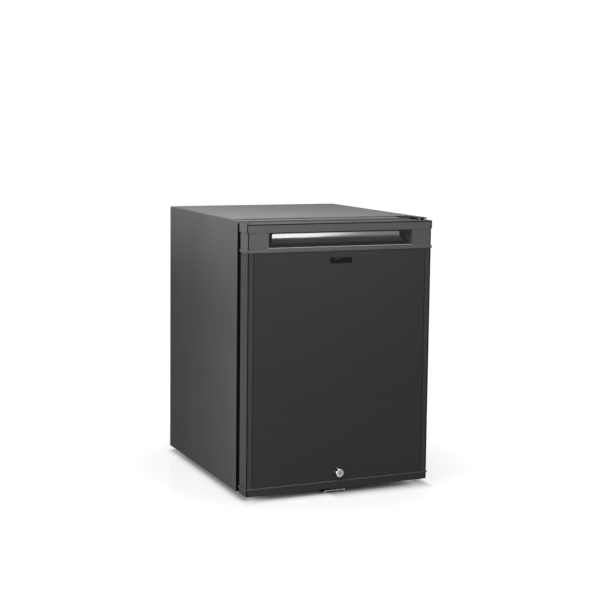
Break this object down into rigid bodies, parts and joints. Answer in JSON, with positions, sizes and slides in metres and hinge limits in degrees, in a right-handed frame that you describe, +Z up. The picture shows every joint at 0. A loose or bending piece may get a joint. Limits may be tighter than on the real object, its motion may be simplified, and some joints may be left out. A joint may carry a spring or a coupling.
{
  "type": "minibar fridge",
  "caption": "Free-standing minibar fridge with an absorption cooling unit, a hinged door with a moulded grip band, wire shelves, door racks and a cylinder lock.",
  "frame": {"origin": "on the floor under the middle of the whole fridge, door and lock included", "axes": "+Z up, the door faces -Y, +X is the hinge side"},
  "size_m": [0.406, 0.4766, 0.5609],
  "materials": {
    "painted_steel": "satin black powder coat with a fine texture",
    "galvanised_steel": "plain galvanised sheet",
    "foam": "rigid polyurethane foam",
    "liner_plastic": "vacuum-formed white liner",
    "shelf_wire": "light grey coated wire",
    "evaporator_aluminium": "plain extruded aluminium",
    "lens_plastic": "milky translucent plastic",
    "grey_plastic": "grained grey plastic",
    "foot_plastic": "black moulded plastic",
    "hinge_steel": "black painted steel plate",
    "bush_plastic": "black nylon",
    "cap_plastic": "fine-grained dark grey plastic, polished in the grip",
    "foot_cap_plastic": "fine-grained black plastic",
    "door_profile": "black coated extrusion",
    "door_panel": "dark sheet with a faint level brushing",
    "gasket_rubber": "soft black magnetic gasket",
    "lock_chrome": "bright plated steel",
    "zinc_steel": "zinc plated steel",
    "unit_paint": "black painted tube",
    "boiler_sheet": "galvanised sheet casing",
    "cover_plastic": "moulded white foam plastic",
    "terminal_plastic": "black moulded plastic"
  },
  "bodies": {
    "cabinet": {"cabinet_wrap": "painted_steel", "base_pan": "painted_steel", "back_panel": "galvanised_steel", "cabinet_foam": "foam", "inner_liner": "liner_plastic", "shelf_lower": "shelf_wire", "shelf_upper": "shelf_wire", "evaporator_fins": "evaporator_aluminium", "drip_tray": "liner_plastic", "drain_tube": "grey_plastic", "lamp_holder": "liner_plastic", "lamp_lens": "lens_plastic", "control_housing": "liner_plastic", "foot_bushes": "zinc_steel", "rear_feet": "foot_plastic", "hinge_plate_top": "hinge_steel", "hinge_plate_bottom": "hinge_steel", "hinge_pins": "hinge_steel", "lock_strike": "zinc_steel", "boiler_casing": "boiler_sheet", "vapour_pipe": "unit_paint", "condenser_tube": "unit_paint", "condenser_fins": "unit_paint", "ammonia_pipe": "unit_paint", "service_cover": "cover_plastic", "absorber_vessel": "unit_paint", "gas_exchanger": "unit_paint", "absorber_coil": "unit_paint", "return_pipe": "unit_paint", "unit_brackets": "galvanised_steel", "terminal_box": "terminal_plastic", "cable_gland": "terminal_plastic"},
    "door": {"hinge_bushes": "bush_plastic", "hinge_hole_plug": "bush_plastic", "door_top_cap": "cap_plastic", "door_bottom_cap": "foot_cap_plastic", "door_profile_left": "door_profile", "door_profile_right": "door_profile", "door_front_panel": "door_panel", "door_foam": "foam", "door_liner": "liner_plastic", "door_dyke": "liner_plastic", "door_rack_upper": "liner_plastic", "door_rack_lower": "liner_plastic", "door_gasket": "gasket_rubber", "lock_barrel": "lock_chrome", "lock_nut": "zinc_steel"},
    "lock": {"lock_plug": "lock_chrome", "lock_cam": "zinc_steel", "cam_bolt": "zinc_steel"},
    "control": {"control_knob": "grey_plastic"},
    "foot_left": {"front_foot_left": "foot_plastic"},
    "foot_right": {"front_foot_right": "foot_plastic"}
  },
  "joints": [
    {"name": "door_swing", "type": "hinge", "parent": "cabinet", "child": "door", "pos_m": [0.19, -0.21275, 0.28], "axis": [0, 0, 1], "range_deg": [0, 120]},
    {"name": "lock_turn", "type": "hinge", "parent": "door", "child": "lock", "pos_m": [0, -0.2155, 0.049], "axis": [0, 1, 0], "range_deg": [0, 90]},
    {"name": "control_turn", "type": "hinge", "parent": "cabinet", "child": "control", "pos_m": [0.143, -0.04, 0.466], "axis": [-1, 0, 0], "range_deg": [0, 270]},
    {"name": "foot_left_turn", "type": "hinge", "parent": "cabinet", "child": "foot_left", "pos_m": [-0.15, -0.13175, 0.016], "axis": [0, 0, 1], "continuous": true},
    {"name": "foot_right_turn", "type": "hinge", "parent": "cabinet", "child": "foot_right", "pos_m": [0.15, -0.13175, 0.016], "axis": [0, 0, 1], "continuous": true}
  ]
}
